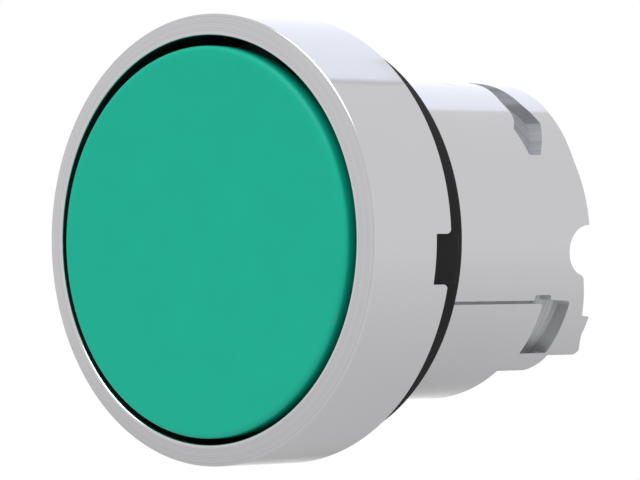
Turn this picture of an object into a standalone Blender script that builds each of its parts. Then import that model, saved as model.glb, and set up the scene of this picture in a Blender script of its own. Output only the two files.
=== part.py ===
"""Push button head for a 22 mm panel hole: flush round cap, spring return.

Metres, +Z up. The button faces -Y, so a finger presses it along +Y.
The origin is the centre of the panel seat, which is the rear face of the gasket.

Every shape is drawn in a drawing frame of its own: X to the operator's right,
Y up and Z towards the operator, so "front" is high Z and "rear" is low Z. One
turn, FACE_THE_OPERATOR, then stands the whole drawing up in the world.
"""

import math

import bmesh
import bpy
from mathutils import Matrix

for old in list(bpy.data.objects):
    bpy.data.objects.remove(old, do_unlink=True)

MM = 0.001

# ---------------------------------------------------------------- sizes, in mm

# Bezel, the round front of the housing
bezel_radius = 14.5
bezel_depth = 7.1
bezel_ring_width = 1.41
bezel_crown = 0.44
bezel_edge_round = 0.18
web_thickness = 0.8

# Gasket, between the bezel and the panel
gasket_stand_off = 2.2
gasket_recess_depth = 0.7
gasket_recess_wall = 0.75
tab_width = 3.2
tab_height_above_middle = -1.21
tab_notch_depth = 1.45
tab_notch_radial = 0.9
tab_mouth_round = 0.48

# Barrel, the part of the housing that passes through the panel
barrel_radius = 10.6
barrel_length = 16.0
barrel_wall = 2.0
rear_band_step = 0.04
rear_band_length = 4.5
collar_groove_depth = 0.8
seam_angle = -22.9
seam_width = 0.22
seam_depth = 0.25

# Button
travel = 4.3
cap_gap = 0.52
cap_proud = 0.16
cap_sag = 0.14
cap_drift = 0.08
cap_edge_round = 0.55

# Spring
spring_wire = 0.7
spring_turns = 5.5

# Clearances
slide_clearance = 0.3
snap_clearance = 0.05
stop_clearance = 0.3

# ------------------------------------------------- sizes worked from the above

bezel_front = gasket_stand_off + bezel_depth
bezel_inside = bezel_radius - bezel_ring_width
bezel_inner_edge = bezel_front + bezel_crown
recess_radius = bezel_radius - gasket_recess_wall
recess_floor = gasket_stand_off + gasket_recess_depth
chamber_floor = recess_floor + web_thickness
tab_notch_floor = bezel_radius - tab_notch_radial

cap_face = bezel_inner_edge + cap_proud
cap_radius = bezel_inside - cap_gap
cap_rim = cap_face - chamber_floor - travel - stop_clearance
cap_back = cap_face - cap_rim
cap_round = min(cap_edge_round, 0.45 * cap_rim)
socket_clearance = cap_sag + snap_clearance

rim = -barrel_length
bore = barrel_radius - barrel_wall
rear_bore = bore + 0.35
clip_groove_radius = rear_bore + 0.5
front_counterbore = bore + 1.0
collar_groove_floor = barrel_radius - collar_groove_depth
rear_band_radius = barrel_radius + rear_band_step
ear_tip = rim - 2.4

bottom_cut = rim + 4.2
clip_groove_rear = rim + 4.7
clip_groove_front = clip_groove_rear + 0.7
bush_rear = clip_groove_front + snap_clearance
bush_front = bush_rear + 1.65
bush_shoulder = bush_front + snap_clearance
washer_rear = bush_front + snap_clearance
washer_front = washer_rear + 0.35

bead_floor = chamber_floor - 2.1
clamp_front = chamber_floor - 0.1
clamp_rear = clamp_front - 0.95
bead_front = clamp_rear - snap_clearance

stem_radius = 0.35 * bore
stem_flat = 0.83 * stem_radius
head_radius = 0.4535 * bore
flange_radius = 0.698 * bore
hub_radius = 0.744 * bore
clamp_inside = 0.85 * bore
hub_rear = chamber_floor - 0.4
flange_front = hub_rear - 1.2
flange_rear = flange_front - 1.0
guide_front = flange_rear - travel - 1.3
spring_radius = stem_radius + slide_clearance + 1.0 + 0.35 + 0.5 * spring_wire
tail_end = rim + 1.0

yoke_front = rim + 3.7
yoke_rear = rim + 1.4
yoke_hub_radius = stem_radius + 1.2
foot_rear = rim + 0.4
pin_radius = 0.75

FACE_THE_OPERATOR = Matrix.Rotation(math.radians(90.0), 4, "X")

# ------------------------------------------------------------------- helpers


def new_collection(name):
    """A collection in the scene."""
    group = bpy.data.collections.new(name)
    bpy.context.scene.collection.children.link(group)
    return group


parts = new_collection("industrial_push_button")
cutters = new_collection("cutters")


def new_material(name, colour, roughness, metallic=0.0):
    """A plain Principled material."""
    made = bpy.data.materials.new(name)
    made.use_nodes = True
    shader = made.node_tree.nodes["Principled BSDF"]
    shader.inputs["Base Color"].default_value = (*colour, 1.0)
    shader.inputs["Roughness"].default_value = roughness
    shader.inputs["Metallic"].default_value = metallic
    made.diffuse_color = (*colour, 1.0)
    return made


def placed(name, mesh, group, place=None):
    """A mesh as an object that faces the operator."""
    made = bpy.data.objects.new(name, mesh)
    group.objects.link(made)
    made.matrix_basis = FACE_THE_OPERATOR @ (place or Matrix.Identity(4))
    if group == cutters:
        made.hide_render = True
        made.display_type = "WIRE"
    return made


def turned(name, profile, steps, group=None, closed=True):
    """A solid of revolution. The profile lists (radius, height) in mm, down its
    outer side and back up its inner side. One that starts and ends on the axis
    is left open there."""
    mesh = bpy.data.meshes.new(name)
    points = [(radius * MM, 0.0, height * MM) for radius, height in profile]
    edges = [(i, i + 1) for i in range(len(points) - 1)]
    if closed:
        edges.append((len(points) - 1, 0))
    mesh.from_pydata(points, edges, [])
    made = placed(name, mesh, group or parts)
    screw = made.modifiers.new("turn", "SCREW")
    screw.axis = "Z"
    screw.angle = math.tau
    screw.steps = steps
    screw.render_steps = steps
    screw.use_merge_vertices = True
    screw.merge_threshold = 0.00001
    screw.use_smooth_shade = True
    return made


def prism(name, outline, low, high, group, place=None):
    """An outline of (x, y) points in mm, extruded along Z from low to high."""
    shape = bmesh.new()
    corners = [shape.verts.new((x * MM, y * MM, low * MM)) for x, y in outline]
    sides = []
    for i, corner in enumerate(corners):
        sides.append(shape.edges.new((corner, corners[(i + 1) % len(corners)])))
    bmesh.ops.contextual_create(shape, geom=sides)
    grown = bmesh.ops.extrude_face_region(shape, geom=shape.faces[:])
    moved = [item for item in grown["geom"] if isinstance(item, bmesh.types.BMVert)]
    bmesh.ops.translate(shape, verts=moved, vec=(0.0, 0.0, (high - low) * MM))
    bmesh.ops.recalc_face_normals(shape, faces=shape.faces[:])
    mesh = bpy.data.meshes.new(name)
    shape.to_mesh(mesh)
    shape.free()
    return placed(name, mesh, group, place)


def block(name, low, high, group, place=None):
    """A box between two corners, in mm."""
    outline = [
        (low[0], low[1]),
        (high[0], low[1]),
        (high[0], high[1]),
        (low[0], high[1]),
    ]
    return prism(name, outline, low[2], high[2], group, place)


# Seen from the side: an outline of (depth, height) points, extruded across X
FROM_THE_SIDE = Matrix(
    (
        (0.0, 0.0, 1.0, 0.0),
        (0.0, 1.0, 0.0, 0.0),
        (-1.0, 0.0, 0.0, 0.0),
        (0.0, 0.0, 0.0, 1.0),
    )
)


def side_prism(name, outline, low, high, group):
    """An outline seen from the side, as (height along Z, height along Y) in mm,
    extruded along X from low to high."""
    flipped = [(-depth, up) for depth, up in outline]
    return prism(name, flipped, low, high, group, FROM_THE_SIDE)


def combine(base, other, how):
    """An exact Boolean of base with other."""
    step = base.modifiers.new(other.name, "BOOLEAN")
    step.operation = how
    step.solver = "EXACT"
    step.object = other
    return step


def arc(centre, radius, start, stop, count):
    """Points along an arc, in degrees, both ends included."""
    found = []
    for i in range(count + 1):
        angle = math.radians(start + (stop - start) * i / count)
        x = centre[0] + radius[0] * math.cos(angle)
        y = centre[1] + radius[1] * math.sin(angle)
        found.append((x, y))
    return found


def flatted_circle(radius, half_flat, count):
    """A circle with two flats, at plus and minus half_flat in Y."""
    side = math.degrees(math.asin(half_flat / radius))
    right = arc((0.0, 0.0), (radius, radius), -side, side, count)
    left = arc((0.0, 0.0), (radius, radius), 180.0 - side, 180.0 + side, count)
    return right + left


def open_ring(name, inside, outside, rear, front, gap, steps):
    """A flat spring ring with a gap at the bottom."""
    made = turned(
        name,
        [(inside, front), (outside, front), (outside, rear), (inside, rear)],
        steps,
    )
    opening = block(
        name + "_gap",
        (-0.5 * gap, -outside - 1.0, rear - 1.0),
        (0.5 * gap, 0.0, front + 1.0),
        cutters,
    )
    combine(made, opening, "DIFFERENCE")
    return made


# ------------------------------------------------------------------ materials

chrome = new_material("chrome_plate", (0.62, 0.61, 0.63), 0.22, 1.0)
black_rubber = new_material("gasket_rubber", (0.02, 0.018, 0.02), 0.6)
green_plastic = new_material("cap_green", (0.018, 0.42, 0.29), 0.45)
grey_plastic = new_material("plunger_grey", (0.45, 0.46, 0.47), 0.5)
black_plastic = new_material("bush_black", (0.03, 0.03, 0.032), 0.5)
silicone = new_material("diaphragm_silicone", (0.3, 0.31, 0.32), 0.55)
clamp_plastic = new_material("clamp_ring_white", (0.72, 0.72, 0.7), 0.45)
spring_steel = new_material("spring_wire_steel", (0.5, 0.5, 0.5), 0.3, 1.0)
washer_steel = new_material("washer_steel", (0.55, 0.55, 0.54), 0.35, 1.0)
clip_steel = new_material("retaining_ring_steel", (0.09, 0.09, 0.1), 0.4, 1.0)
stop_steel = new_material("stop_clip_steel", (0.16, 0.16, 0.17), 0.4, 1.0)
yoke_plastic = new_material("yoke_ivory", (0.62, 0.6, 0.52), 0.5)
pin_steel = new_material("pin_steel", (0.52, 0.52, 0.53), 0.3, 1.0)

# ------------------------------------------------------- housing (one casting)

# Down the outside, from the bezel's inner edge to the barrel's rear rim, then
# back up the bore
e = bezel_edge_round
housing = turned(
    "housing",
    [
        (bezel_inside, bezel_inner_edge - 0.15),
        (bezel_inside + 0.15, bezel_inner_edge - 0.04),
        (bezel_radius - e, bezel_front + 0.05),
        (bezel_radius - 0.3 * e, bezel_front - 0.3 * e + 0.02),
        (bezel_radius, bezel_front - e),
        (bezel_radius, gasket_stand_off + 0.12),
        (bezel_radius - 0.1, gasket_stand_off),
        (recess_radius, gasket_stand_off),
        (recess_radius, recess_floor),
        (barrel_radius, recess_floor),
        (barrel_radius, rim + rear_band_length + 0.05),
        (rear_band_radius, rim + rear_band_length - 0.05),
        (rear_band_radius, ear_tip - 0.1),
        (rear_bore, ear_tip - 0.1),
        (rear_bore, clip_groove_rear),
        (clip_groove_radius, clip_groove_rear),
        (clip_groove_radius, clip_groove_front),
        (rear_bore, clip_groove_front),
        (rear_bore, bush_shoulder),
        (bore, bush_shoulder),
        (bore, bead_floor),
        (front_counterbore, bead_floor),
        (front_counterbore, chamber_floor),
        (bezel_inside, chamber_floor),
    ],
    72,
)
housing.data.materials.append(chrome)

# The rear edge, seen from the side: a rim that leans back towards the top, the
# half-round notch, ear, lower corner, and the bottom of the barrel, which stops
# short
across = rear_band_radius + 2.0
notch_middle = -0.066 * barrel_radius
notch_radius = 1.7
ear_low = -0.7245 * barrel_radius
cut_low = -0.819 * barrel_radius
rear_outline = [(rim - 2.3, across)]
for behind, share in (
    (1.8, 1.004),
    (1.6, 0.972),
    (1.35, 0.923),
    (1.1, 0.862),
    (0.78, 0.792),
    (0.5, 0.698),
    (0.15, 0.566),
    (0.0, 0.49),
):
    rear_outline.append((rim - behind, share * barrel_radius))
rear_outline += arc((rim, notch_middle), (2.05, notch_radius), 90.0, -75.0, 14)
rear_outline += [
    (rim + 0.3, -0.238 * barrel_radius),
    (rim - 0.7, -0.4755 * barrel_radius),
    (rim - 1.45, -0.481 * barrel_radius),
    (rim - 1.62, -0.601 * barrel_radius),
    (rim - 2.0, -0.654 * barrel_radius),
]
rear_outline += arc((ear_tip + 0.35, ear_low + 0.35), (0.35, 0.35), 190.0, 270.0, 4)
rear_outline += arc((rim + 1.7, ear_low), (1.2, ear_low - cut_low), 180.0, 270.0, 6)
rear_outline += [
    (bottom_cut, cut_low),
    (bottom_cut, -across),
    (ear_tip - 3.0, -across),
    (ear_tip - 3.0, across),
]
rear_cut = side_prism("rear_edge_cut", rear_outline, -across, across, cutters)
combine(housing, rear_cut, "DIFFERENCE")

# Two collar grooves: an upper one that runs over the top of the barrel and a
# lower one on each side, both with a round floor
groove_core = turned(
    "collar_groove_core",
    [
        (0.0, rim + 6.0),
        (collar_groove_floor, rim + 6.0),
        (collar_groove_floor, ear_tip - 1.0),
        (0.0, ear_tip - 1.0),
    ],
    72,
    cutters,
    closed=False,
)
upper_outline = [(rim + 1.3, across)]
for ahead, share in (
    (1.5, 0.981),
    (2.4, 0.915),
    (2.9, 0.868),
    (3.25, 0.783),
    (3.6, 0.745),
    (4.3, 0.693),
    (4.3, 0.528),
    (3.16, 0.528),
    (1.0, 0.726),
    (0.55, 0.811),
    (0.2, 0.896),
    (-0.2, 0.962),
    (-0.6, 1.009),
    (-1.2, across / barrel_radius),
):
    upper_outline.append((rim + ahead, share * barrel_radius))
upper_groove = side_prism("upper_groove_cut", upper_outline, -across, across, cutters)
combine(upper_groove, groove_core, "DIFFERENCE")
combine(housing, upper_groove, "DIFFERENCE")
lower_groove = side_prism(
    "lower_groove_cut",
    [
        (rim + 4.74, -0.342 * barrel_radius),
        (rim + 3.2, -0.342 * barrel_radius),
        (rim + 3.1, -0.373 * barrel_radius),
        (rim + 1.1, -0.380 * barrel_radius),
        (rim + 0.85, -0.709 * barrel_radius),
        (rim + 3.55, -0.709 * barrel_radius),
        (rim + 3.8, -0.400 * barrel_radius),
        (rim + 4.7, -0.389 * barrel_radius),
    ],
    -across,
    across,
    cutters,
)
combine(lower_groove, groove_core, "DIFFERENCE")
combine(housing, lower_groove, "DIFFERENCE")

# A fine seam along each side of the barrel, from under the gasket to the groove
for name, angle in (("seam_right", seam_angle), ("seam_left", 180.0 - seam_angle)):
    seam = block(
        name,
        (barrel_radius - seam_depth, -0.5 * seam_width, rim + 3.6),
        (barrel_radius + 1.0, 0.5 * seam_width, 0.8),
        cutters,
        Matrix.Rotation(math.radians(angle), 4, "Z"),
    )
    combine(housing, seam, "DIFFERENCE")

# The notch in the bezel's rear edge that takes the gasket's tab
tab_low = tab_height_above_middle - 0.5 * tab_width
tab_high = tab_height_above_middle + 0.5 * tab_width
mouth = gasket_stand_off
m = tab_mouth_round
notch_outline = [
    (mouth - 1.0, tab_low - m),
    (mouth - 1.0, tab_high + m),
]
notch_outline += arc((mouth + m, tab_high + m), (m, m), 180.0, 270.0, 4)
notch_outline += [
    (mouth + tab_notch_depth, tab_high),
    (mouth + tab_notch_depth, tab_low),
]
notch_outline += arc((mouth + m, tab_low - m), (m, m), 90.0, 180.0, 4)
tab_notch = side_prism("tab_notch_cut", notch_outline, 0.5 * bezel_radius, bezel_radius + 1.0, cutters)
notch_core = turned(
    "tab_notch_core",
    [
        (0.0, bezel_front),
        (tab_notch_floor, bezel_front),
        (tab_notch_floor, -1.0),
        (0.0, -1.0),
    ],
    72,
    cutters,
    closed=False,
)
combine(tab_notch, notch_core, "DIFFERENCE")
combine(housing, tab_notch, "DIFFERENCE")

# --------------------------------------------------------------- panel gasket

gasket_inside = barrel_radius + 0.1
gasket_outside = recess_radius - 0.2
gasket_front = recess_floor - snap_clearance
gasket = turned(
    "panel_gasket",
    [
        (gasket_inside, gasket_front),
        (gasket_outside - 0.15, gasket_front),
        (gasket_outside, gasket_front - 0.15),
        (gasket_outside, 0.25),
        (gasket_outside - 0.08, 0.07),
        (gasket_outside - 0.25, 0.0),
        (gasket_inside, 0.0),
    ],
    72,
)
gasket.data.materials.append(black_rubber)
tab_top = gasket_stand_off + tab_notch_depth - snap_clearance
tab_ring = turned(
    "gasket_tab",
    [
        (tab_notch_floor + snap_clearance, tab_top),
        (bezel_radius - 0.2, tab_top),
        (bezel_radius - 0.2, 0.55 * gasket_stand_off),
        (gasket_outside - 0.2, 0.55 * gasket_stand_off),
        (gasket_outside - 0.2, gasket_front - 0.2),
        (tab_notch_floor + snap_clearance, gasket_front - 0.2),
    ],
    72,
    cutters,
)
tab_side = block(
    "gasket_tab_side",
    (0.5 * bezel_radius, tab_low + 0.05, -1.0),
    (bezel_radius + 1.0, tab_high - 0.05, bezel_front),
    cutters,
)
combine(tab_ring, tab_side, "INTERSECT")
combine(gasket, tab_ring, "UNION")

# ----------------------------------------------------------------- button cap

cap_profile = [(0.0, cap_face)]
cap_profile += arc(
    (cap_radius - cap_round, cap_face - cap_round), (cap_round, cap_round), 90.0, 0.0, 5
)
cap_profile += [
    (cap_radius, cap_back + 0.1 * cap_rim),
    (cap_radius - 0.1 * cap_rim, cap_back),
    (hub_radius, cap_back),
    (hub_radius, hub_rear),
    (head_radius + socket_clearance, hub_rear),
    (head_radius + socket_clearance, cap_back - 0.3),
    (0.0, cap_back - 0.3),
]
cap = turned("button_cap", cap_profile, 72, closed=False)
cap.data.materials.append(green_plastic)

# -------------------------------------------------------------------- plunger

plunger_head = cap_back - 0.5
clip_slot_front = bush_rear - 0.02
clip_slot_rear = clip_slot_front - 0.7
clip_slot_radius = 0.78 * stem_radius
plunger = turned(
    "plunger",
    [
        (0.0, plunger_head),
        (head_radius - 0.4, plunger_head),
        (head_radius, plunger_head - 0.4),
        (head_radius, flange_front),
        (flange_radius, flange_front),
        (flange_radius, flange_rear),
        (stem_radius, flange_rear),
        (stem_radius, clip_slot_front),
        (clip_slot_radius, clip_slot_front),
        (clip_slot_radius, clip_slot_rear),
        (stem_radius, clip_slot_rear),
        (stem_radius, tail_end + 0.4),
        (stem_radius - 0.4, tail_end),
        (0.0, tail_end),
    ],
    48,
    closed=False,
)
plunger.data.materials.append(grey_plastic)
for name, side in (("plunger_flat_top", 1.0), ("plunger_flat_bottom", -1.0)):
    near = stem_flat * side
    far = (stem_radius + 1.0) * side
    flat = block(
        name,
        (-stem_radius - 1.0, min(near, far), tail_end - 1.0),
        (stem_radius + 1.0, max(near, far), flange_rear - 0.6),
        cutters,
    )
    combine(plunger, flat, "DIFFERENCE")

# ------------------------------------------------------------------ diaphragm

fold_inside = flange_radius + 0.33
fold_outside = bore - 0.18
fold_middle = 0.5 * (fold_inside + fold_outside)
skin = 0.38
fold_low = bead_floor - 2.3
diaphragm = turned(
    "sealing_diaphragm",
    [
        (bore + 0.15, bead_front),
        (front_counterbore - 0.1, bead_front),
        (front_counterbore - 0.1, bead_floor + snap_clearance),
        (fold_outside, bead_floor + snap_clearance),
        (fold_outside, fold_low + 1.1),
        (fold_outside - 0.3, fold_low + 0.35),
        (fold_middle, fold_low),
        (fold_inside + 0.27, fold_low + 0.3),
        (fold_inside, fold_low + 1.1),
        (fold_inside, flange_front + snap_clearance),
        (head_radius + snap_clearance, flange_front + snap_clearance),
        (head_radius + snap_clearance, hub_rear - snap_clearance),
        (fold_inside + 0.1, hub_rear - snap_clearance),
        (fold_inside + skin, hub_rear - 0.4),
        (fold_inside + skin, fold_low + 1.2),
        (fold_inside + skin + 0.2, fold_low + 0.7),
        (fold_middle, fold_low + skin + 0.05),
        (fold_outside - skin - 0.2, fold_low + 0.7),
        (fold_outside - skin, fold_low + 1.2),
        (fold_outside - skin, bead_front - 0.5),
    ],
    64,
)
diaphragm.data.materials.append(silicone)

clamp_outside = front_counterbore - snap_clearance
clamp = turned(
    "diaphragm_clamp_ring",
    [
        (clamp_inside, clamp_front),
        (clamp_outside - 0.25, clamp_front),
        (clamp_outside, clamp_front - 0.25),
        (clamp_outside, clamp_rear),
        (clamp_inside, clamp_rear),
    ],
    64,
)
clamp.data.materials.append(clamp_plastic)

# ----------------------------------------------------------------- guide bush

bush_outside = rear_bore - snap_clearance
guide_outside = stem_radius + slide_clearance + 1.0
bush = turned(
    "guide_bush",
    [
        (0.0, guide_front),
        (guide_outside - 0.2, guide_front),
        (guide_outside, guide_front - 0.2),
        (guide_outside, bush_front),
        (bush_outside, bush_front),
        (bush_outside, bush_rear),
        (0.0, bush_rear),
    ],
    64,
    closed=False,
)
bush.data.materials.append(black_plastic)
bush_hole = prism(
    "guide_bush_hole",
    flatted_circle(stem_radius + slide_clearance, stem_flat + slide_clearance, 14),
    bush_rear - 1.0,
    guide_front + 1.0,
    cutters,
)
combine(bush, bush_hole, "DIFFERENCE")

washer = turned(
    "spring_washer",
    [
        (guide_outside + 0.2, washer_front),
        (spring_radius + spring_wire + 0.4, washer_front),
        (spring_radius + spring_wire + 0.4, washer_rear),
        (guide_outside + 0.2, washer_rear),
    ],
    48,
)
washer.data.materials.append(washer_steel)

# -------------------------------------------------------------- return spring

# A helix whose end turns lie almost flat
spring_low = washer_front + 0.05 + 0.5 * spring_wire
spring_high = flange_rear - 0.05 - 0.5 * spring_wire
spring_curve = bpy.data.curves.new("return_spring", "CURVE")
spring_curve.dimensions = "3D"
spring_curve.bevel_depth = 0.5 * spring_wire * MM
spring_curve.bevel_resolution = 2
spring_curve.use_fill_caps = True
coil = spring_curve.splines.new("POLY")
coil_points = int(spring_turns * 18)
coil.points.add(coil_points)
end_turn = 0.16
for i in range(coil_points + 1):
    along = i / coil_points
    angle = math.tau * spring_turns * along
    rise = (along - end_turn) / (1.0 - 2.0 * end_turn)
    rise = max(0.0, min(1.0, rise))
    closed_rise = 1.05 * spring_wire * min(1.0, along / end_turn)
    opened_rise = 1.05 * spring_wire * max(0.0, (along - 1.0 + end_turn) / end_turn)
    free_rise = spring_high - spring_low - 2.1 * spring_wire
    height = spring_low + closed_rise + opened_rise + free_rise * rise
    x = spring_radius * math.cos(angle) * MM
    y = spring_radius * math.sin(angle) * MM
    coil.points[i].co = (x, y, height * MM, 1.0)
spring = bpy.data.objects.new("return_spring", spring_curve)
parts.objects.link(spring)
spring.matrix_basis = FACE_THE_OPERATOR
spring.data.materials.append(spring_steel)

# ------------------------------------------------------ rings, yoke and pin

retaining_ring = open_ring(
    "bush_retaining_ring",
    rear_bore - 1.35,
    clip_groove_radius - snap_clearance,
    clip_groove_rear + snap_clearance,
    clip_groove_front - snap_clearance,
    4.0,
    64,
)
retaining_ring.data.materials.append(clip_steel)

stop_clip = open_ring(
    "rest_stop_clip",
    clip_slot_radius + 0.04,
    stem_radius + 1.9,
    clip_slot_rear + snap_clearance,
    clip_slot_front - snap_clearance,
    1.5 * clip_slot_radius,
    48,
)
stop_clip.data.materials.append(stop_steel)

yoke_reach = rear_bore - 1.4
yoke = turned(
    "contact_yoke",
    [
        (0.0, yoke_front),
        (yoke_hub_radius - 0.2, yoke_front),
        (yoke_hub_radius, yoke_front - 0.2),
        (yoke_hub_radius, yoke_rear),
        (0.0, yoke_rear),
    ],
    48,
    closed=False,
)
yoke.data.materials.append(yoke_plastic)
yoke_bar = block(
    "contact_yoke_bar",
    (-yoke_reach, -2.0, yoke_rear + 0.1),
    (yoke_reach, 2.0, yoke_rear + 1.3),
    cutters,
)
combine(yoke, yoke_bar, "UNION")
for name, side in (("contact_yoke_foot_right", 1.0), ("contact_yoke_foot_left", -1.0)):
    near = (yoke_hub_radius + 0.5) * side
    far = (yoke_reach - 0.1) * side
    foot = block(
        name,
        (min(near, far), -1.8, foot_rear),
        (max(near, far), 1.8, yoke_rear + 0.6),
        cutters,
    )
    combine(yoke, foot, "UNION")
yoke_hole = prism(
    "contact_yoke_hole",
    flatted_circle(stem_radius + snap_clearance, stem_flat + snap_clearance, 12),
    yoke_rear - 2.0,
    yoke_front + 1.0,
    cutters,
)
combine(yoke, yoke_hole, "DIFFERENCE")

# The pin goes up through the yoke's hub and the plunger's tail
pin_height = 0.5 * (yoke_front + yoke_rear) + 0.1
UPRIGHT = Matrix.Translation((0.0, 0.0, pin_height * MM)) @ Matrix.Rotation(
    math.radians(-90.0), 4, "X"
)


def upright_pin(name, radius, half_length, group):
    """A round bar that stands upright at the pin's place."""
    shape = bmesh.new()
    bmesh.ops.create_cone(
        shape,
        cap_ends=True,
        segments=24,
        radius1=radius * MM,
        radius2=radius * MM,
        depth=2.0 * half_length * MM,
    )
    mesh = bpy.data.meshes.new(name)
    shape.to_mesh(mesh)
    shape.free()
    return placed(name, mesh, group, UPRIGHT)


pin_hole = upright_pin("yoke_pin_hole", pin_radius + snap_clearance, yoke_hub_radius + 2.0, cutters)
combine(plunger, pin_hole, "DIFFERENCE")
combine(yoke, pin_hole, "DIFFERENCE")
pin = upright_pin("yoke_pin", pin_radius, yoke_hub_radius - 0.2, parts)
pin.data.materials.append(pin_steel)
for face in pin.data.polygons:
    face.use_smooth = True

# The cap hangs a little low and to the left in the bezel, by the play in its
# guides
cap.location.x = -cap_drift * MM
cap.location.z = -cap_sag * MM
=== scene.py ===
# %% [markdown]
# # A push button head in chrome, green plastic and black rubber
#
# The real object is the front half of a panel push button: a chromed zinc
# casting (round bezel and barrel), a flat green cap that sits in the bezel, and
# a rubber gasket behind it. The small inner parts come from the CAD frame. This
# lesson rebuilds the outer shapes finely enough for polished metal and gives
# every part its finish.

# %% Load the frame
import math

import bmesh
import bpy
import numpy as np
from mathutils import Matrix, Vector


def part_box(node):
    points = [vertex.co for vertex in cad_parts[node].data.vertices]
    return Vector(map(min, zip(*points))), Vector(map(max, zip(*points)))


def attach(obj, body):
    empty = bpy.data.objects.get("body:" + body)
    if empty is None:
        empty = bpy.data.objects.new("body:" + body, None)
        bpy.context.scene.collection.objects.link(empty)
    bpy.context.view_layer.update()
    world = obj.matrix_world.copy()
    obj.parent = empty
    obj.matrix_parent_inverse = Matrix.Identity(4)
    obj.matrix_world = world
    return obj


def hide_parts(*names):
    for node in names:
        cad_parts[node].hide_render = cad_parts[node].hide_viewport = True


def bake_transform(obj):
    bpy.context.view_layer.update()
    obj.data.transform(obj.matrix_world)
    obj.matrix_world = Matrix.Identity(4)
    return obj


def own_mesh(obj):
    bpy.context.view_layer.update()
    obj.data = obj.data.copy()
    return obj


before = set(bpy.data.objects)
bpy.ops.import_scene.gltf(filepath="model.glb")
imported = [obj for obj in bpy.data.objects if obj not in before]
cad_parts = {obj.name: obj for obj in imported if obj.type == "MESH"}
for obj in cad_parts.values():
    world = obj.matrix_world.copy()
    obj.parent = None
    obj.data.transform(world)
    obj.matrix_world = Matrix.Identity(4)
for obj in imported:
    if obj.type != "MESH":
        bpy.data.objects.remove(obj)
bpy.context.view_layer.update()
MM = 0.001

# %% [markdown]
# ## Sizes
#
# The button's axis is Y: the cap faces -Y and the panel's front is the plane
# y = 0. Sizes are in millimetres and repeat those of the solid parts. The cap
# hangs a little low in its bezel, so its centre is read from its own box.

# %% Sizes
BEZEL_RADIUS = 14.5
BEZEL_INSIDE = 13.09
BEZEL_FRONT = -9.3
BEZEL_INNER_EDGE = -9.74
BEZEL_REAR = -2.2
RECESS_RADIUS = 13.75
RECESS_FLOOR = -2.9
CHAMBER_FLOOR = -3.7
BARREL_RADIUS = 10.6
REAR_BAND_RADIUS = 10.615
REAR_BAND_START = 11.5
RIM = 16.0
EAR_TIP = 18.4
BORE = 8.6
REAR_BORE = 8.95
GROOVE_FLOOR = 9.8
GASKET_RADIUS = 13.55
BEAD_FLOOR = -1.6
BEAD_RADIUS = BORE + 1.0
REAR_BORE_START = 8.85
CLIP_GROOVE_FRONT = 10.6
CLIP_GROOVE_REAR = 11.3
CLIP_GROOVE_RADIUS = REAR_BORE + 0.5
TURN_STEPS = 256

cap_low, cap_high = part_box("button_cap")
cap_centre = 0.5 * (cap_low + cap_high) / MM
print("cap centre, mm", [round(v, 3) for v in cap_centre])

# %% [markdown]
# ## Profiles with rounded corners
#
# Real castings and mouldings have no perfectly sharp corner, and a rounded one
# catches a thin line of light. A profile is listed by its corners, each with a
# radius, and every corner is then swapped for a short arc. An arc is used, not a
# Bevel modifier, because it costs a few points and never fails.


# %% Rounded profiles
def fillet(corners, steps=5, closed=True):
    """Corners are (x, y, radius). Each becomes an arc that touches both of its
    sides: its ends lie radius / tan(half the corner's angle) along them, and
    its centre lies on the corner's bisector, radius / sin(half angle) away."""
    corners = np.asarray(corners, float)
    points = corners[:, :2]
    found = []
    last = len(points) - 1
    for i, (x, y, radius) in enumerate(corners):
        here = points[i]
        ends = not closed and i in (0, last)
        if radius <= 0 or ends:
            found.append(here[None, :])
            continue
        back = points[i - 1] - here
        ahead = points[(i + 1) % len(points)] - here
        back_length = np.linalg.norm(back)
        ahead_length = np.linalg.norm(ahead)
        back /= back_length
        ahead /= ahead_length
        half = 0.5 * math.acos(np.clip(back @ ahead, -1.0, 1.0))
        reach = min(radius / math.tan(half), 0.48 * back_length, 0.48 * ahead_length)
        radius = reach * math.tan(half)
        bisector = (back + ahead) / np.linalg.norm(back + ahead)
        centre = here + bisector * radius / math.sin(half)
        start = here + back * reach - centre
        stop = here + ahead * reach - centre
        sweep = math.atan2(
            start[0] * stop[1] - start[1] * stop[0], float(start @ stop)
        )
        turn = np.linspace(0.0, sweep, steps)
        cos, sin = np.cos(turn), np.sin(turn)
        ring = np.stack(
            [start[0] * cos - start[1] * sin, start[0] * sin + start[1] * cos], 1
        )
        found.append(centre + ring)
    return np.concatenate(found)


# %% [markdown]
# ## Turned surfaces
#
# The bezel, cap and gasket are all turned shapes. A lathe shape is a grid: one
# parameter runs along the profile and the other around the axis. The whole grid
# is worked out as arrays and handed to Blender at once.


# %% Meshes from arrays
def new_object(name, points, faces, smooth=True):
    """A mesh object from points in millimetres and a list of faces."""
    mesh = bpy.data.meshes.new(name)
    mesh.from_pydata((np.asarray(points) * MM).tolist(), [], faces)
    shape = bmesh.new()
    shape.from_mesh(mesh)
    bmesh.ops.remove_doubles(shape, verts=shape.verts[:], dist=1e-7)
    bmesh.ops.recalc_face_normals(shape, faces=shape.faces[:])
    for face in shape.faces:
        face.smooth = smooth
    shape.to_mesh(mesh)
    shape.free()
    made = bpy.data.objects.new(name, mesh)
    bpy.context.scene.collection.objects.link(made)
    return made


def grid_faces(rows, columns, wrap_rows):
    """Quads of a grid whose columns join up. Its rows join up too if asked."""
    row = np.arange(rows if wrap_rows else rows - 1)[:, None]
    column = np.arange(columns)[None, :]
    below = (row + 1) % rows
    beside = (column + 1) % columns
    corners = [
        row * columns + column,
        row * columns + beside,
        below * columns + beside,
        below * columns + column,
    ]
    return np.stack([c.reshape(-1) for c in corners], 1).tolist()


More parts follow.
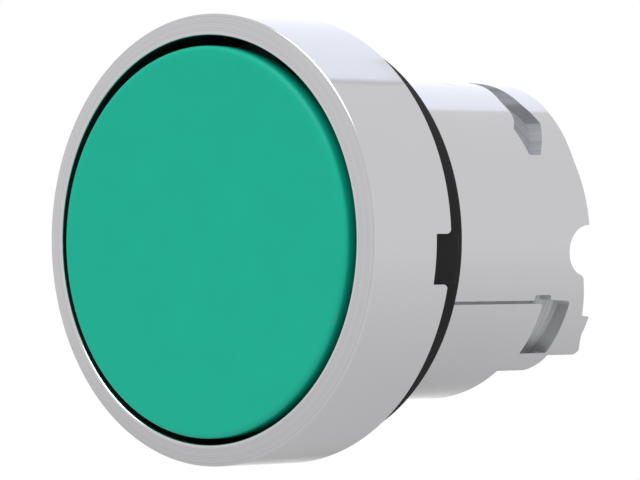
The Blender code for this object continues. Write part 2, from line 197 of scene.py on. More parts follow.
def turned(name, profile, steps=TURN_STEPS, centre=(0.0, 0.0), closed=True):
    """x = centre + radius * cos(angle), z = centre + radius * sin(angle) and
    y = place along the axis, for every profile point and every angle."""
    profile = np.asarray(profile, float)
    angle = np.linspace(0.0, math.tau, steps, endpoint=False)
    radius, along = profile[:, :1], profile[:, 1:2]
    x = centre[0] + radius * np.cos(angle)
    z = centre[1] + radius * np.sin(angle)
    y = np.broadcast_to(along, x.shape)
    points = np.stack([x, y, z], 2).reshape(-1, 3)
    return new_object(name, points, grid_faces(len(profile), steps, closed))


def side_prism(name, outline, low, high):
    """An outline of (y, z) points carried straight along X from low to high."""
    outline = np.asarray(outline, float)
    count = len(outline)
    x = np.repeat([low, high], count)[:, None]
    points = np.concatenate([x, np.tile(outline, (2, 1))], 1)
    faces = grid_faces(2, count, False)
    faces.append(list(range(count)))
    faces.append(list(range(count, 2 * count)))
    return new_object(name, points, faces, smooth=False)


# %% [markdown]
# ## Cutting and softening
#
# The grooves, the notches and the ear are milled or cast across the turned
# shape. A Boolean does that exactly. The cut's edges are then broken by a narrow
# Bevel, because a plated edge is never a knife edge. Both are applied at once,
# so the finished piece is a plain mesh.


# %% Booleans and bevels
def apply_modifiers(piece):
    """The piece's mesh becomes what its modifiers show."""
    bpy.context.view_layer.update()
    graph = bpy.context.evaluated_depsgraph_get()
    result = bpy.data.meshes.new_from_object(piece.evaluated_get(graph))
    result.name = piece.name
    piece.modifiers.clear()
    piece.data = result
    return piece


def combine(piece, other, how):
    """An exact Boolean, applied, after which the other shape is removed."""
    step = piece.modifiers.new("cut", "BOOLEAN")
    step.operation = how
    step.solver = "EXACT"
    step.object = other
    apply_modifiers(piece)
    bpy.data.objects.remove(other)
    return piece


BROKEN_FROM = math.radians(32.0)


def soften(piece, width, segments=3):
    """Breaks the edges that turn by more than BROKEN_FROM. Width is in mm."""
    step = piece.modifiers.new("soften", "BEVEL")
    step.width = width * MM
    step.segments = segments
    step.limit_method = "ANGLE"
    step.angle_limit = BROKEN_FROM
    step.use_clamp_overlap = True
    step.harden_normals = False
    apply_modifiers(piece)
    return piece


def shade(piece, angle=40.0):
    """Smooth faces, with edges sharper than the angle kept crisp. The normals
    are weighted by area, so a broad face stays true beside a narrow rounding."""
    for face in piece.data.polygons:
        face.use_smooth = True
    piece.data.set_sharp_from_angle(angle=math.radians(angle))
    weighted = piece.modifiers.new("weighted", "WEIGHTED_NORMAL")
    weighted.keep_sharp = True
    weighted.weight = 100
    return apply_modifiers(piece)


# %% [markdown]
# ## The housing
#
# Bezel and barrel are one zinc casting, chromed all over. Its profile runs down
# the outside from the bezel's inner edge to the rear of the barrel and back up
# the bore. The bezel's face is slightly conical, so its inner edge stands a
# little proud, and its edges are narrowly rounded.

# %% Housing, turned
housing_profile = fillet(
    [
        (BEZEL_INSIDE, BEZEL_INNER_EDGE, 0.16),
        (BEZEL_RADIUS, BEZEL_FRONT, 0.12),
        (BEZEL_RADIUS, BEZEL_REAR, 0.12),
        (RECESS_RADIUS, BEZEL_REAR, 0.08),
        (RECESS_RADIUS, RECESS_FLOOR, 0.1),
        (BARREL_RADIUS, RECESS_FLOOR, 0.15),
        (BARREL_RADIUS, REAR_BAND_START - 0.04, 0.05),
        (REAR_BAND_RADIUS, REAR_BAND_START + 0.06, 0.05),
        (REAR_BAND_RADIUS, EAR_TIP + 0.1, 0.0),
        (REAR_BORE, EAR_TIP + 0.1, 0.0),
        (REAR_BORE, CLIP_GROOVE_REAR, 0.05),
        (CLIP_GROOVE_RADIUS, CLIP_GROOVE_REAR, 0.05),
        (CLIP_GROOVE_RADIUS, CLIP_GROOVE_FRONT, 0.05),
        (REAR_BORE, CLIP_GROOVE_FRONT, 0.05),
        (REAR_BORE, REAR_BORE_START, 0.1),
        (BORE, REAR_BORE_START, 0.1),
        (BORE, BEAD_FLOOR, 0.1),
        (BEAD_RADIUS, BEAD_FLOOR, 0.1),
        (BEAD_RADIUS, CHAMBER_FLOOR, 0.1),
        (BEZEL_INSIDE, CHAMBER_FLOOR, 0.3),
    ]
)
housing = turned("housing_shell", housing_profile)
print("housing profile points", len(housing_profile))

# %% [markdown]
# ### The rear edge
#
# Seen from the side, the barrel ends in a rim that leans back towards the top, a
# half-round notch level with the axis, then an ear that reaches further back, a
# rounded corner, and a bottom that stops short. One outline cuts both sides at
# once. The leaning part passes through a few heights.


# %% Rear edge
def arc(centre, radii, start, stop, count):
    """Points on an ellipse's arc, from start to stop in degrees."""
    angle = np.radians(np.linspace(start, stop, count))
    return np.stack(
        [
            centre[0] + radii[0] * np.cos(angle),
            centre[1] + radii[1] * np.sin(angle),
        ],
        1,
    )


FAR = REAR_BAND_RADIUS + 2.0
NOTCH_MIDDLE = -0.70
EAR_LOW = -7.68
CUT_LOW = -8.68
BOTTOM_END = 11.8


def lean(height):
    """How far the rim lies behind its flat part, at a height above the axis."""
    heights = [5.2, 6.0, 7.4, 8.4, 9.14, 9.78, 10.3, 10.64, FAR]
    behind = [0.0, 0.15, 0.5, 0.78, 1.1, 1.35, 1.6, 1.8, 2.3]
    return np.interp(height, heights, behind)


lean_height = np.linspace(FAR, 5.2, 25)
rear_outline = np.concatenate(
    [
        np.stack([RIM + lean(lean_height), lean_height], 1),
        arc((RIM, NOTCH_MIDDLE), (2.05, 1.7), 90.0, 255.0, 33),
        fillet(
            [
                (RIM - 0.53, -2.36, 0.0),
                (RIM - 0.3, -2.52, 0.1),
                (RIM + 0.7, -5.04, 0.08),
                (RIM + 1.45, -5.1, 0.08),
                (RIM + 1.62, -6.37, 0.3),
                (RIM + 2.0, -6.93, 0.3),
                (EAR_TIP - 0.02, -7.3, 0.0),
            ],
            closed=False,
        )[1:-1],
        arc((EAR_TIP - 0.35, EAR_LOW + 0.35), (0.35, 0.35), -10.0, -90.0, 9),
        arc((RIM - 1.7, EAR_LOW), (1.2, EAR_LOW - CUT_LOW), 0.0, -90.0, 12),
        [(BOTTOM_END, CUT_LOW), (BOTTOM_END, -FAR)],
        [(EAR_TIP + 3.0, -FAR), (EAR_TIP + 3.0, FAR)],
    ]
)
combine(housing, side_prism("rear_cut", rear_outline, -FAR, FAR), "DIFFERENCE")

# %% [markdown]
# ### The collar grooves
#
# A fixing collar grips two grooves near the rear: one over the top of the
# barrel, which leans back like the rim and widens at its lower ends, and a lower
# one on each side. Their floors are round, so each cutter is a prism with a
# cylinder taken out of its middle.


# %% Collar grooves
def groove_cutter(name, outline):
    """A side prism that reaches down to the grooves' round floor."""
    cutter = side_prism(name, outline, -FAR, FAR)
    core = turned(
        name + "_core",
        [(0.0, 9.0), (GROOVE_FLOOR, 9.0), (GROOVE_FLOOR, 20.0), (0.0, 20.0)],
        closed=False,
    )
    return combine(cutter, core, "DIFFERENCE")


# The upper groove's rear side is level with the axis at first and leans back
# from 9 mm above it
groove_height = np.linspace(7.75, FAR, 24)
groove_rear = RIM - 1.1 + 0.45 * np.maximum(groove_height - 9.0, 0.0) ** 1.3
upper_groove = fillet(
    [
        (RIM - 4.3, 5.6, 0.15),
        (RIM - 3.16, 5.6, 0.3),
        *((along, height, 0.0) for along, height in zip(groove_rear, groove_height)),
        (RIM - 1.3, FAR, 0.0),
        (RIM - 1.5, 10.4, 0.5),
        (RIM - 2.4, 9.7, 0.5),
        (RIM - 2.9, 9.2, 0.6),
        (RIM - 3.25, 8.3, 0.4),
        (RIM - 3.6, 7.9, 0.3),
        (RIM - 4.3, 7.35, 0.2),
    ]
)
lower_groove = fillet(
    [
        (RIM - 4.74, -3.62, 0.12),
        (RIM - 3.2, -3.62, 0.12),
        (RIM - 3.1, -3.95, 0.1),
        (RIM - 1.1, -4.03, 0.28),
        (RIM - 0.85, -7.52, 0.1),
        (RIM - 3.55, -7.52, 0.1),
        (RIM - 3.8, -4.25, 0.12),
        (RIM - 4.7, -4.12, 0.12),
    ]
)
combine(housing, groove_cutter("upper_groove", upper_groove), "DIFFERENCE")
combine(housing, groove_cutter("lower_groove", lower_groove), "DIFFERENCE")

# %% [markdown]
# ### The tab notch and the side seams
#
# A tab on the gasket sits in a small notch in the bezel's rear edge, whose mouth
# is rounded. A fine seam runs along each side of the barrel, where the halves of
# the casting die met.

# %% Tab notch
TAB_LOW, TAB_HIGH = -2.81, 0.39
TAB_TOP = -3.65
MOUTH = 0.48
NOTCH_FLOOR = 13.6
SIDE_START = 7.0
notch_outline = np.concatenate(
    [
        [(BEZEL_REAR + 1.0, TAB_LOW - MOUTH)],
        arc((BEZEL_REAR - MOUTH, TAB_LOW - MOUTH), (MOUTH, MOUTH), 0.0, 90.0, 8),
        fillet(
            [
                (BEZEL_REAR - 0.5, TAB_LOW, 0.0),
                (TAB_TOP, TAB_LOW, 0.08),
                (TAB_TOP, TAB_HIGH, 0.08),
                (BEZEL_REAR - 0.5, TAB_HIGH, 0.0),
            ],
            closed=False,
        ),
        arc((BEZEL_REAR - MOUTH, TAB_HIGH + MOUTH), (MOUTH, MOUTH), 270.0, 360.0, 8),
        [(BEZEL_REAR + 1.0, TAB_HIGH + MOUTH)],
    ]
)
notch_cutter = side_prism(
    "tab_notch", notch_outline, SIDE_START, BEZEL_RADIUS + 1.0
)
notch_core = turned(
    "tab_notch_core",
    [(0.0, -9.0), (NOTCH_FLOOR, -9.0), (NOTCH_FLOOR, 1.0), (0.0, 1.0)],
    closed=False,
)
combine(notch_cutter, notch_core, "DIFFERENCE")
combine(housing, notch_cutter, "DIFFERENCE")

# %% Side seams
SEAM_HEIGHT = 4.12
SEAM_DEPTH = 0.25
seam_x = math.sqrt(BARREL_RADIUS**2 - SEAM_HEIGHT**2)


def seam_cutter(side):
    """A V seen from behind, carried along Y from under the gasket to the lower
    groove."""
    outline = [
        (seam_x - SEAM_DEPTH, -SEAM_HEIGHT + 0.01),
        (seam_x + 0.25, -SEAM_HEIGHT - 0.18),
        (seam_x + 0.25, -SEAM_HEIGHT + 0.22),
    ]
    points = [(side * x, y, z) for y in (-0.8, 12.4) for x, z in outline]
    faces = [[0, 1, 2], [3, 4, 5], [0, 1, 4, 3], [1, 2, 5, 4], [2, 0, 3, 5]]
    return new_object("seam", points, faces, smooth=False)


for side in (-1.0, 1.0):
    combine(housing, seam_cutter(side), "DIFFERENCE")

soften(housing, 0.05)
shade(housing)
print("housing faces", len(housing.data.polygons))

# %% [markdown]
# ### True normals on the barrel
#
# The cuts leave slivers on the barrel's round walls and on its leaning rim, and
# polished metal shows them. Where a face lies on a round wall its corners take
# the cylinder's own normal, and on the rim they take the normal of its outline.

# %% Barrel normals
ROUND_WALL = math.cos(math.radians(9.0))
RIM_STEP = 0.3
RIM_NEAR = 0.06
BARREL_START = 0.3
barrel = housing.data
normals = np.array([corner.vector for corner in barrel.corner_normals])
points = np.array([vertex.co for vertex in barrel.vertices]) / MM
for face in barrel.polygons:
    x, along, height = face.center / MM
    if along < BARREL_START:
        continue
    out = math.hypot(x, height)
    facing = (face.normal.x * x + face.normal.z * height) / out
    on_rim = abs(along - RIM - lean(height)) < RIM_NEAR and face.normal.y > 0.7
    for corner in face.loop_indices:
        px, _, pz = points[barrel.loops[corner].vertex_index]
        if abs(facing) > ROUND_WALL:
            normal = np.array([px, 0.0, pz]) * math.copysign(1.0, facing)
        elif on_rim:
            slope = (lean(pz + RIM_STEP) - lean(pz - RIM_STEP)) / (2.0 * RIM_STEP)
            normal = np.array([0.0, 1.0, -slope])
        else:
            continue
        normals[corner] = normal / np.linalg.norm(normal)
barrel.normals_split_custom_set(normals)

# %% [markdown]
# ## The gasket
#
# Moulded rubber: a thick ring with rounded edges and one tab that keeps it from
# turning. The tab is a slice of a ring, joined to the gasket by a union.

# %% Gasket
gasket = turned(
    "gasket_ring",
    fillet(
        [
            (BARREL_RADIUS + 0.1, RECESS_FLOOR + 0.05, 0.1),
            (GASKET_RADIUS, RECESS_FLOOR + 0.05, 0.15),
            (GASKET_RADIUS, 0.0, 0.28),
            (BARREL_RADIUS + 0.1, 0.0, 0.1),
        ]
    ),
)
TAB_INSIDE = NOTCH_FLOOR + 0.05
TAB_OUTSIDE = 14.3
TAB_ROOT = GASKET_RADIUS - 0.2
TAB_REAR = -1.25
tab = turned(
    "gasket_tab",
    fillet(
        [
            (TAB_INSIDE, TAB_TOP + 0.05, 0.06),
            (TAB_OUTSIDE, TAB_TOP + 0.05, 0.08),
            (TAB_OUTSIDE, TAB_REAR, 0.15),
            (TAB_ROOT, TAB_REAR, 0.0),
            (TAB_ROOT, -2.6, 0.0),
            (TAB_INSIDE, -2.6, 0.0),
        ]
    ),
)
tab_side = side_prism(
    "gasket_tab_side",
    [
        (-9.0, TAB_LOW + 0.05),
        (-9.0, TAB_HIGH - 0.05),
        (1.0, TAB_HIGH - 0.05),
        (1.0, TAB_LOW + 0.05),
    ],
    SIDE_START,
    16.0,
)
combine(tab, tab_side, "INTERSECT")
combine(gasket, tab, "UNION")
shade(gasket)

# %% [markdown]
# ## The cap
#
# A flat disc of green plastic with a rounded edge and a hollow hub that snaps on
# the plunger. The face is very slightly dished, as a moulded disc shrinks as it
# cools: the dip is a few hundredths of a millimetre times one minus the square
# of the share of the radius.

# %% Cap
CAP_RADIUS = 12.57
CAP_FACE = -9.9
CAP_BACK = -8.3
CAP_DISH = 0.04
HUB = 6.4
HUB_REAR = -3.3
SOCKET = 4.09
SOCKET_FLOOR = -8.0
FLAT_SHARE = 0.94
share = np.linspace(0.0, FLAT_SHARE, 24)
face = np.stack([share * CAP_RADIUS, CAP_FACE + CAP_DISH * (1.0 - share**2)], 1)
edge = fillet(
    [
        (FLAT_SHARE * CAP_RADIUS, CAP_FACE, 0.0),
        (CAP_RADIUS, CAP_FACE, 0.4),
        (CAP_RADIUS, CAP_BACK, 0.15),
        (HUB, CAP_BACK, 0.2),
        (HUB, HUB_REAR, 0.2),
        (SOCKET, HUB_REAR, 0.1),
        (SOCKET, SOCKET_FLOOR, 0.1),
        (0.0, SOCKET_FLOOR, 0.0),
    ],
    steps=9,
    closed=False,
)
cap = turned(
    "cap",
    np.concatenate([face[:-1], edge]),
    centre=(cap_centre[0], cap_centre[2]),
    closed=False,
)
shade(cap)
print("cap faces", len(cap.data.polygons))

# %% [markdown]
# ## Inner parts
#
# The bush, rings, yoke, pin and plunger already have their true shape in the
# frame, but as loose flat triangles. A copy of each is welded, its flat areas
# are joined up, its edges are broken and its round faces are smoothed. The
# diaphragm and the spring change shape with the press, so they are only welded
# and smoothed.


# %% Inner parts
ROUND_FACES = 35.0


def welded(node_name, joined_up):
    """A copy of a CAD node without its doubled points. Its flat areas become
    single faces if asked."""
    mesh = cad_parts[node_name].data.copy()
    shape = bmesh.new()
    shape.from_mesh(mesh)
    bmesh.ops.remove_doubles(shape, verts=shape.verts[:], dist=2e-6)
    if joined_up:
        bmesh.ops.dissolve_limit(
            shape,
            angle_limit=math.radians(0.5),
            verts=shape.verts[:],
            edges=shape.edges[:],
        )
    shape.to_mesh(mesh)
    shape.free()
    mesh.materials.clear()
    made = bpy.data.objects.new(node_name + "_finished", mesh)
    bpy.context.scene.collection.objects.link(made)
    return made


def refined(node_name, width):
    """A welded, softened copy of a CAD node."""
    made = welded(node_name, True)
    soften(made, width, segments=2)
    return shade(made, ROUND_FACES)


edge_widths = {
    "guide_bush": 0.06,
    "bush_retaining_ring": 0.04,
    "plunger": 0.06,
    "rest_stop_clip": 0.04,
    "contact_yoke": 0.1,
    "yoke_pin": 0.08,
}
finished = {
    node_name: refined(node_name, width) for node_name, width in edge_widths.items()
}
for node_name in ("sealing_diaphragm", "return_spring"):
    finished[node_name] = shade(welded(node_name, False), ROUND_FACES)

# %% [markdown]
# ## Finishes: shared effects
#
# Two small effects serve the finishes. Cast grain is a soft unevenness of tone,
# gloss and height, as on plated castings and mouldings. Streaks are the marks a
# turning or milling tool leaves, which run along one direction. Each is a node
# group with named inputs, so a finish only states its own values.


# %% Node helpers
def new_group(name, inputs, outputs):
    """An empty shader group with the given sockets."""
    group = bpy.data.node_groups.new(name, "ShaderNodeTree")
    for title, kind, value in inputs:
        socket = group.interface.new_socket(title, in_out="INPUT", socket_type=kind)
        if value is not None:
            socket.default_value = value
    for title, kind in outputs:
        group.interface.new_socket(title, in_out="OUTPUT", socket_type=kind)
    start = group.nodes.new("NodeGroupInput")
    finish = group.nodes.new("NodeGroupOutput")
    return group, start, finish


def node(tree, kind, values=None, **settings):
    """A node with its properties and unlinked socket values set."""
    made = tree.nodes.new(kind)
    for title, value in settings.items():
        setattr(made, title, value)
    for title, value in (values or {}).items():
        made.inputs[title].default_value = value
    return made


def spread(tree, source, low, high):
    """A node that maps 0..1 on low..high, fed by a socket. Low and high are
    numbers or sockets."""
    mapped = node(tree, "ShaderNodeMapRange")
    tree.links.new(source, mapped.inputs["Value"])
    for title, value in (("To Min", low), ("To Max", high)):
        if isinstance(value, bpy.types.NodeSocket):
            tree.links.new(value, mapped.inputs[title])
        else:
            mapped.inputs[title].default_value = value
    return mapped.outputs["Result"]


FLOAT, VECTOR = "NodeSocketFloat", "NodeSocketVector"

# %% Cast grain
grain, grain_in, grain_out = new_group(
    "cast_grain",
    [
        ("Vector", VECTOR, None),
        ("Scale", FLOAT, 900.0),
        ("Tone Low", FLOAT, 0.95),
        ("Tone High", FLOAT, 1.05),
        ("Roughness Low", FLOAT, 0.2),
        ("Roughness High", FLOAT, 0.3),
    ],
    [("Tone", FLOAT), ("Roughness", FLOAT), ("Height", FLOAT)],
)
fine = node(grain, "ShaderNodeTexNoise", {"Detail": 3.0, "Roughness": 0.6})
broad_scale = node(grain, "ShaderNodeMath", {1: 0.11}, operation="MULTIPLY")
broad = node(grain, "ShaderNodeTexNoise", {"Detail": 2.0, "Roughness": 0.5})
grain.links.new(grain_in.outputs["Vector"], fine.inputs["Vector"])
grain.links.new(grain_in.outputs["Vector"], broad.inputs["Vector"])
grain.links.new(grain_in.outputs["Scale"], fine.inputs["Scale"])
grain.links.new(grain_in.outputs["Scale"], broad_scale.inputs[0])
grain.links.new(broad_scale.outputs[0], broad.inputs["Scale"])
tone = spread(
    grain,
    broad.outputs["Fac"],
    grain_in.outputs["Tone Low"],
    grain_in.outputs["Tone High"],
)
rough = spread(
    grain,
    broad.outputs["Fac"],
    grain_in.outputs["Roughness Low"],
    grain_in.outputs["Roughness High"],
)
grain.links.new(tone, grain_out.inputs["Tone"])
grain.links.new(rough, grain_out.inputs["Roughness"])
grain.links.new(fine.outputs["Fac"], grain_out.inputs["Height"])

# %% Streaks
streaks, streaks_in, streaks_out = new_group(
    "tool_streaks",
    [
        ("Vector", VECTOR, None),
        ("Stretch", VECTOR, (2500.0, 60.0, 60.0)),
        ("Tone Low", FLOAT, 0.9),
        ("Tone High", FLOAT, 1.1),
    ],
    [("Tone", FLOAT), ("Height", FLOAT)],
)
stretched = node(streaks, "ShaderNodeVectorMath", operation="MULTIPLY")
lines = node(streaks, "ShaderNodeTexNoise", {"Scale": 1.0, "Detail": 2.0})
streaks.links.new(streaks_in.outputs["Vector"], stretched.inputs[0])
streaks.links.new(streaks_in.outputs["Stretch"], stretched.inputs[1])
streaks.links.new(stretched.outputs[0], lines.inputs["Vector"])
streak_tone = spread(
    streaks,
    lines.outputs["Fac"],
    streaks_in.outputs["Tone Low"],
    streaks_in.outputs["Tone High"],
)
streaks.links.new(streak_tone, streaks_out.inputs["Tone"])
streaks.links.new(lines.outputs["Fac"], streaks_out.inputs["Height"])

# %% [markdown]
# ## Finishes: one function for plain ones, one for worked metal
#
# A finish is a Principled BSDF whose colour is its own colour times the effect's
# tone and whose surface has a faint bump. With cast grain the roughness varies a
# little too. Numbers that are the same all over are set on the shader itself.


# %% A finish
def finish(name, colour, roughness, tone_spread, scale, bump, **constants):
    """A material with cast grain. Roughness is (low, high)."""
    made = bpy.data.materials.new(name)
    made.use_nodes = True
    tree = made.node_tree
    shader = tree.nodes["Principled BSDF"]
    for title, value in constants.items():
        shader.inputs[title.replace("_", " ")].default_value = value
    place = node(tree, "ShaderNodeTexCoord")
    effect = node(tree, "ShaderNodeGroup", node_tree=grain)
    effect.inputs["Scale"].default_value = scale
    effect.inputs["Tone Low"].default_value = 1.0 - tone_spread
    effect.inputs["Tone High"].default_value = 1.0 + tone_spread
    effect.inputs["Roughness Low"].default_value = roughness[0]
    effect.inputs["Roughness High"].default_value = roughness[1]
    tree.links.new(place.outputs["Object"], effect.inputs["Vector"])
    tinted = node(tree, "ShaderNodeVectorMath", operation="SCALE")
    tinted.inputs[0].default_value = colour
    tree.links.new(effect.outputs["Tone"], tinted.inputs["Scale"])
    tree.links.new(tinted.outputs[0], shader.inputs["Base Color"])
    tree.links.new(effect.outputs["Roughness"], shader.inputs["Roughness"])
    relief = node(tree, "ShaderNodeBump", {"Strength": 1.0, "Distance": bump * MM})
    tree.links.new(effect.outputs["Height"], relief.inputs["Height"])
    tree.links.new(relief.outputs["Normal"], shader.inputs["Normal"])
    return made


def streaked(name, colour, roughness, stretch, tone_low, tone_high, bump, rings=False):
    """Worked metal whose tone and height change across the tool's marks. With
    rings, the marks are circles about Y, so the distance from the axis is fed
    in instead of the place."""
    made = bpy.data.materials.new(name)
    made.use_nodes = True
    tree = made.node_tree
    shader = tree.nodes["Principled BSDF"]
    shader.inputs["Metallic"].default_value = 1.0
    shader.inputs["Roughness"].default_value = roughness
    place = node(tree, "ShaderNodeTexCoord")
    effect = node(tree, "ShaderNodeGroup", node_tree=streaks)
    effect.inputs["Stretch"].default_value = stretch
    effect.inputs["Tone Low"].default_value = tone_low
    effect.inputs["Tone High"].default_value = tone_high
    where = place.outputs["Object"]
    if rings:
        flat = node(
            tree, "ShaderNodeVectorMath", {1: (1.0, 0.0, 1.0)}, operation="MULTIPLY"
        )
        distance = node(tree, "ShaderNodeVectorMath", operation="LENGTH")
        packed = node(tree, "ShaderNodeCombineXYZ")
        tree.links.new(where, flat.inputs[0])
        tree.links.new(flat.outputs[0], distance.inputs[0])
        tree.links.new(distance.outputs["Value"], packed.inputs["X"])
        where = packed.outputs[0]
    tree.links.new(where, effect.inputs["Vector"])
    tinted = node(tree, "ShaderNodeVectorMath", operation="SCALE")
    tinted.inputs[0].default_value = colour
    tree.links.new(effect.outputs["Tone"], tinted.inputs["Scale"])
    tree.links.new(tinted.outputs[0], shader.inputs["Base Color"])
    relief = node(tree, "ShaderNodeBump", {"Strength": 1.0, "Distance": bump * MM})
    tree.links.new(effect.outputs["Height"], relief.inputs["Height"])
    tree.links.new(relief.outputs["Normal"], shader.inputs["Normal"])
    return made


# The bezel's face is turned: rings about an eighth of a millimetre apart
ring_face = streaked(
    "turned_chrome",
    (0.605, 0.6, 0.615),
    0.16,
    (8000.0, 1.0, 1.0),
    0.76,
    1.14,
    0.0006,
    rings=True,
)
# Across the grooves the marks are about a third of a millimetre apart, and along
# them, around the barrel, they run for several millimetres
AROUND = (140.0, 3200.0, 140.0)
# Painted shade: the upper groove wears a darker copy of the milled finish, standing in
# for the shade deep in that groove
milled_painted_shade = streaked(
    "painted_shade_milled_upper", (0.34, 0.35, 0.375), 0.8, AROUND, 0.6, 1.5, 0.01
)
milled = streaked(
    "milled_chrome_lower", (0.62, 0.63, 0.64), 0.7, AROUND, 0.5, 1.45, 0.012
)
chrome = finish(
    "satin_chrome",
    (0.62, 0.615, 0.635),
    (0.09, 0.13),
    0.02,
    1400.0,
    0.0003,
    Metallic=1.0,
)
# Painted shade: the well behind the cap is nearly black, standing in for the deep shade
# in the gap between cap and bezel
well_painted_shade = finish(
    "painted_shade_well",
    (0.03, 0.035, 0.037),
    (0.25, 0.4),
    0.3,
    1200.0,
    0.002,
    Metallic=0.6,
)
cap_green = finish(
    "cap_green_plastic",
    (0.001, 0.384, 0.256),
    (0.5, 0.58),
    0.04,
    5200.0,
    0.006,
    Specular_IOR_Level=0.22,
)
rubber = finish(
    "gasket_black_rubber",
    (0.007, 0.0062, 0.007),
    (0.6, 0.75),
    0.2,
    3000.0,
    0.01,
    Specular_IOR_Level=0.25,
)
grey = finish("moulded_grey", (0.40, 0.41, 0.42), (0.4, 0.5), 0.05, 2500.0, 0.003)
black = finish("moulded_black", (0.025, 0.025, 0.027), (0.35, 0.5), 0.15, 2500.0, 0.004)
ivory = finish("moulded_ivory", (0.60, 0.57, 0.48), (0.35, 0.45), 0.05, 2500.0, 0.003)
white = finish("moulded_white", (0.70, 0.70, 0.68), (0.4, 0.5), 0.04, 2500.0, 0.003)
silicone = finish("silicone_grey", (0.28, 0.29, 0.30), (0.5, 0.6), 0.06, 1500.0, 0.004)
steel = finish(
    "bright_steel", (0.52, 0.52, 0.53), (0.25, 0.38), 0.1, 2500.0, 0.001, Metallic=1.0
)
dark_steel = finish(
    "phosphated_steel",
    (0.10, 0.10, 0.11),
    (0.35, 0.5),
    0.2,
    2500.0,
    0.002,
    Metallic=1.0,
)

# %% [markdown]
# ## Who wears what, and who moves with what
#
# Each new piece stands for one CAD node and rides on its body. The clamp ring and
# the washer stay as they are in the frame and only change their material.

# %% Assign
finished["housing"] = housing
finished["panel_gasket"] = gasket
finished["button_cap"] = cap
pieces = [
    ("housing", "head", "chrome_plate", chrome),
    ("panel_gasket", "head", "gasket_rubber", rubber),
    ("button_cap", "button", "cap_green", cap_green),
    ("guide_bush", "head", "bush_black", black),
    ("bush_retaining_ring", "head", "retaining_ring_steel", dark_steel),
    ("plunger", "button", "plunger_grey", grey),
    ("rest_stop_clip", "button", "stop_clip_steel", dark_steel),
    ("contact_yoke", "button", "yoke_ivory", ivory),
    ("yoke_pin", "button", "pin_steel", steel),
]
for node_name, body, slot, material in pieces:
    piece = finished[node_name]
    piece.data.materials.clear()
    piece.data.materials.append(material)
    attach(piece, body)
    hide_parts(node_name)

# The grooves are milled after casting, so they are duller; the upper one's darker
# finish is painted shade for its deep groove. The well behind the cap is painted
# dark as painted shade for the gap round the cap. The bezel's face is turned.
for extra_finish in (milled, milled_painted_shade, well_painted_shade, ring_face):
    housing.data.materials.append(extra_finish)
LOWER_GROOVE, UPPER_GROOVE, WELL_PAINTED_SHADE, BEZEL_FACE = 1, 2, 3, 4
for face in housing.data.polygons:
    along = face.center.y / MM
    out = math.hypot(face.center.x, face.center.z) / MM
    height = face.center.z / MM
    upper = height > 5.3 and 11.4 < along < RIM + lean(height) - 0.3
    lower = -7.6 < height < -3.5 and 11.0 < along < 15.3
    if (upper or lower) and REAR_BORE + 0.4 < out < BARREL_RADIUS - 0.1:
        face.material_index = UPPER_GROOVE if upper else LOWER_GROOVE
    deep = BEZEL_INNER_EDGE + 0.2 < along < CHAMBER_FLOOR + 0.3
    if deep and out < BEZEL_INSIDE + 0.1:
        face.material_index = WELL_PAINTED_SHADE
    if along < BEZEL_FRONT and BEZEL_INSIDE + 0.2 < out < BEZEL_RADIUS - 0.1:
        face.material_index = BEZEL_FACE

# %% [markdown]
# ## Pieces that change shape with the press
#
# The spring sits on its washer, which stays, and its front end follows the
# plunger. Here it rides on the head with a mesh of its own. The diaphragm's bead
# stays in the housing and its collar follows the plunger, and the fold between
# them rolls. Here each of its points gets the share of the travel it would move
# by, growing from the fold's outer wall to its inner wall; the points are not moved.

# %% Spring and diaphragm
spring = finished["return_spring"]
spring.data.materials.append(steel)
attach(spring, "head")
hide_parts("return_spring")
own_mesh(spring)

FOLD_OUTER_WALL = 8.0
FOLD_INNER_WALL = 6.75
diaphragm = finished["sealing_diaphragm"]
diaphragm.data.materials.append(silicone)
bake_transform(diaphragm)
# The fold is round, so the share goes by the distance from the axis
place = np.array([vertex.co for vertex in diaphragm.data.vertices])
out = np.hypot(place[:, 0], place[:, 2]) / MM
share = np.clip((FOLD_OUTER_WALL - out) / (FOLD_OUTER_WALL - FOLD_INNER_WALL), 0.0, 1.0)
share = share * share * (3.0 - 2.0 * share)
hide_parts("sealing_diaphragm")

# %% Pieces kept from the frame
for node_name, material in (("diaphragm_clamp_ring", white), ("spring_washer", steel)):
    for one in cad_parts[node_name].material_slots:
        one.material = material
    print(node_name, "wears", material.name)

# %% [markdown]
# ## Studio
#
# A white room with a pale round floor a little below the object. Polished metal
# shows its surroundings, so they matter more than the lamps: white all round, a
# brighter panel behind on the left, and a darker floor below, which carries a
# painted shadow near the object in reflections. For the camera the world is plain
# white.

# %% World
scene = bpy.context.scene
scene.view_settings.view_transform = "Standard"
world = bpy.data.worlds.new("white_room")
scene.world = world
world.use_nodes = True
room = world.node_tree
sky = room.nodes["Background"]
sky.inputs["Color"].default_value = (1.0, 1.0, 1.0, 1.0)
AMBIENT = 0.55
REFLECTED = 0.9
path = node(room, "ShaderNodeLightPath")
shown = node(room, "ShaderNodeMath", operation="MAXIMUM")
room.links.new(path.outputs["Is Camera Ray"], shown.inputs[0])
room.links.new(path.outputs["Is Transmission Ray"], shown.inputs[1])
glossy = node(room, "ShaderNodeMath", {1: REFLECTED - AMBIENT}, operation="MULTIPLY")
room.links.new(path.outputs["Is Glossy Ray"], glossy.inputs[0])
bright = node(room, "ShaderNodeMath", {1: 1.0 - AMBIENT}, operation="MULTIPLY")
room.links.new(shown.outputs[0], bright.inputs[0])
extra = node(room, "ShaderNodeMath", operation="MAXIMUM")
room.links.new(glossy.outputs[0], extra.inputs[0])
room.links.new(bright.outputs[0], extra.inputs[1])
level = node(room, "ShaderNodeMath", {1: AMBIENT}, operation="ADD")
room.links.new(extra.outputs[0], level.inputs[0])
room.links.new(level.outputs[0], sky.inputs["Strength"])

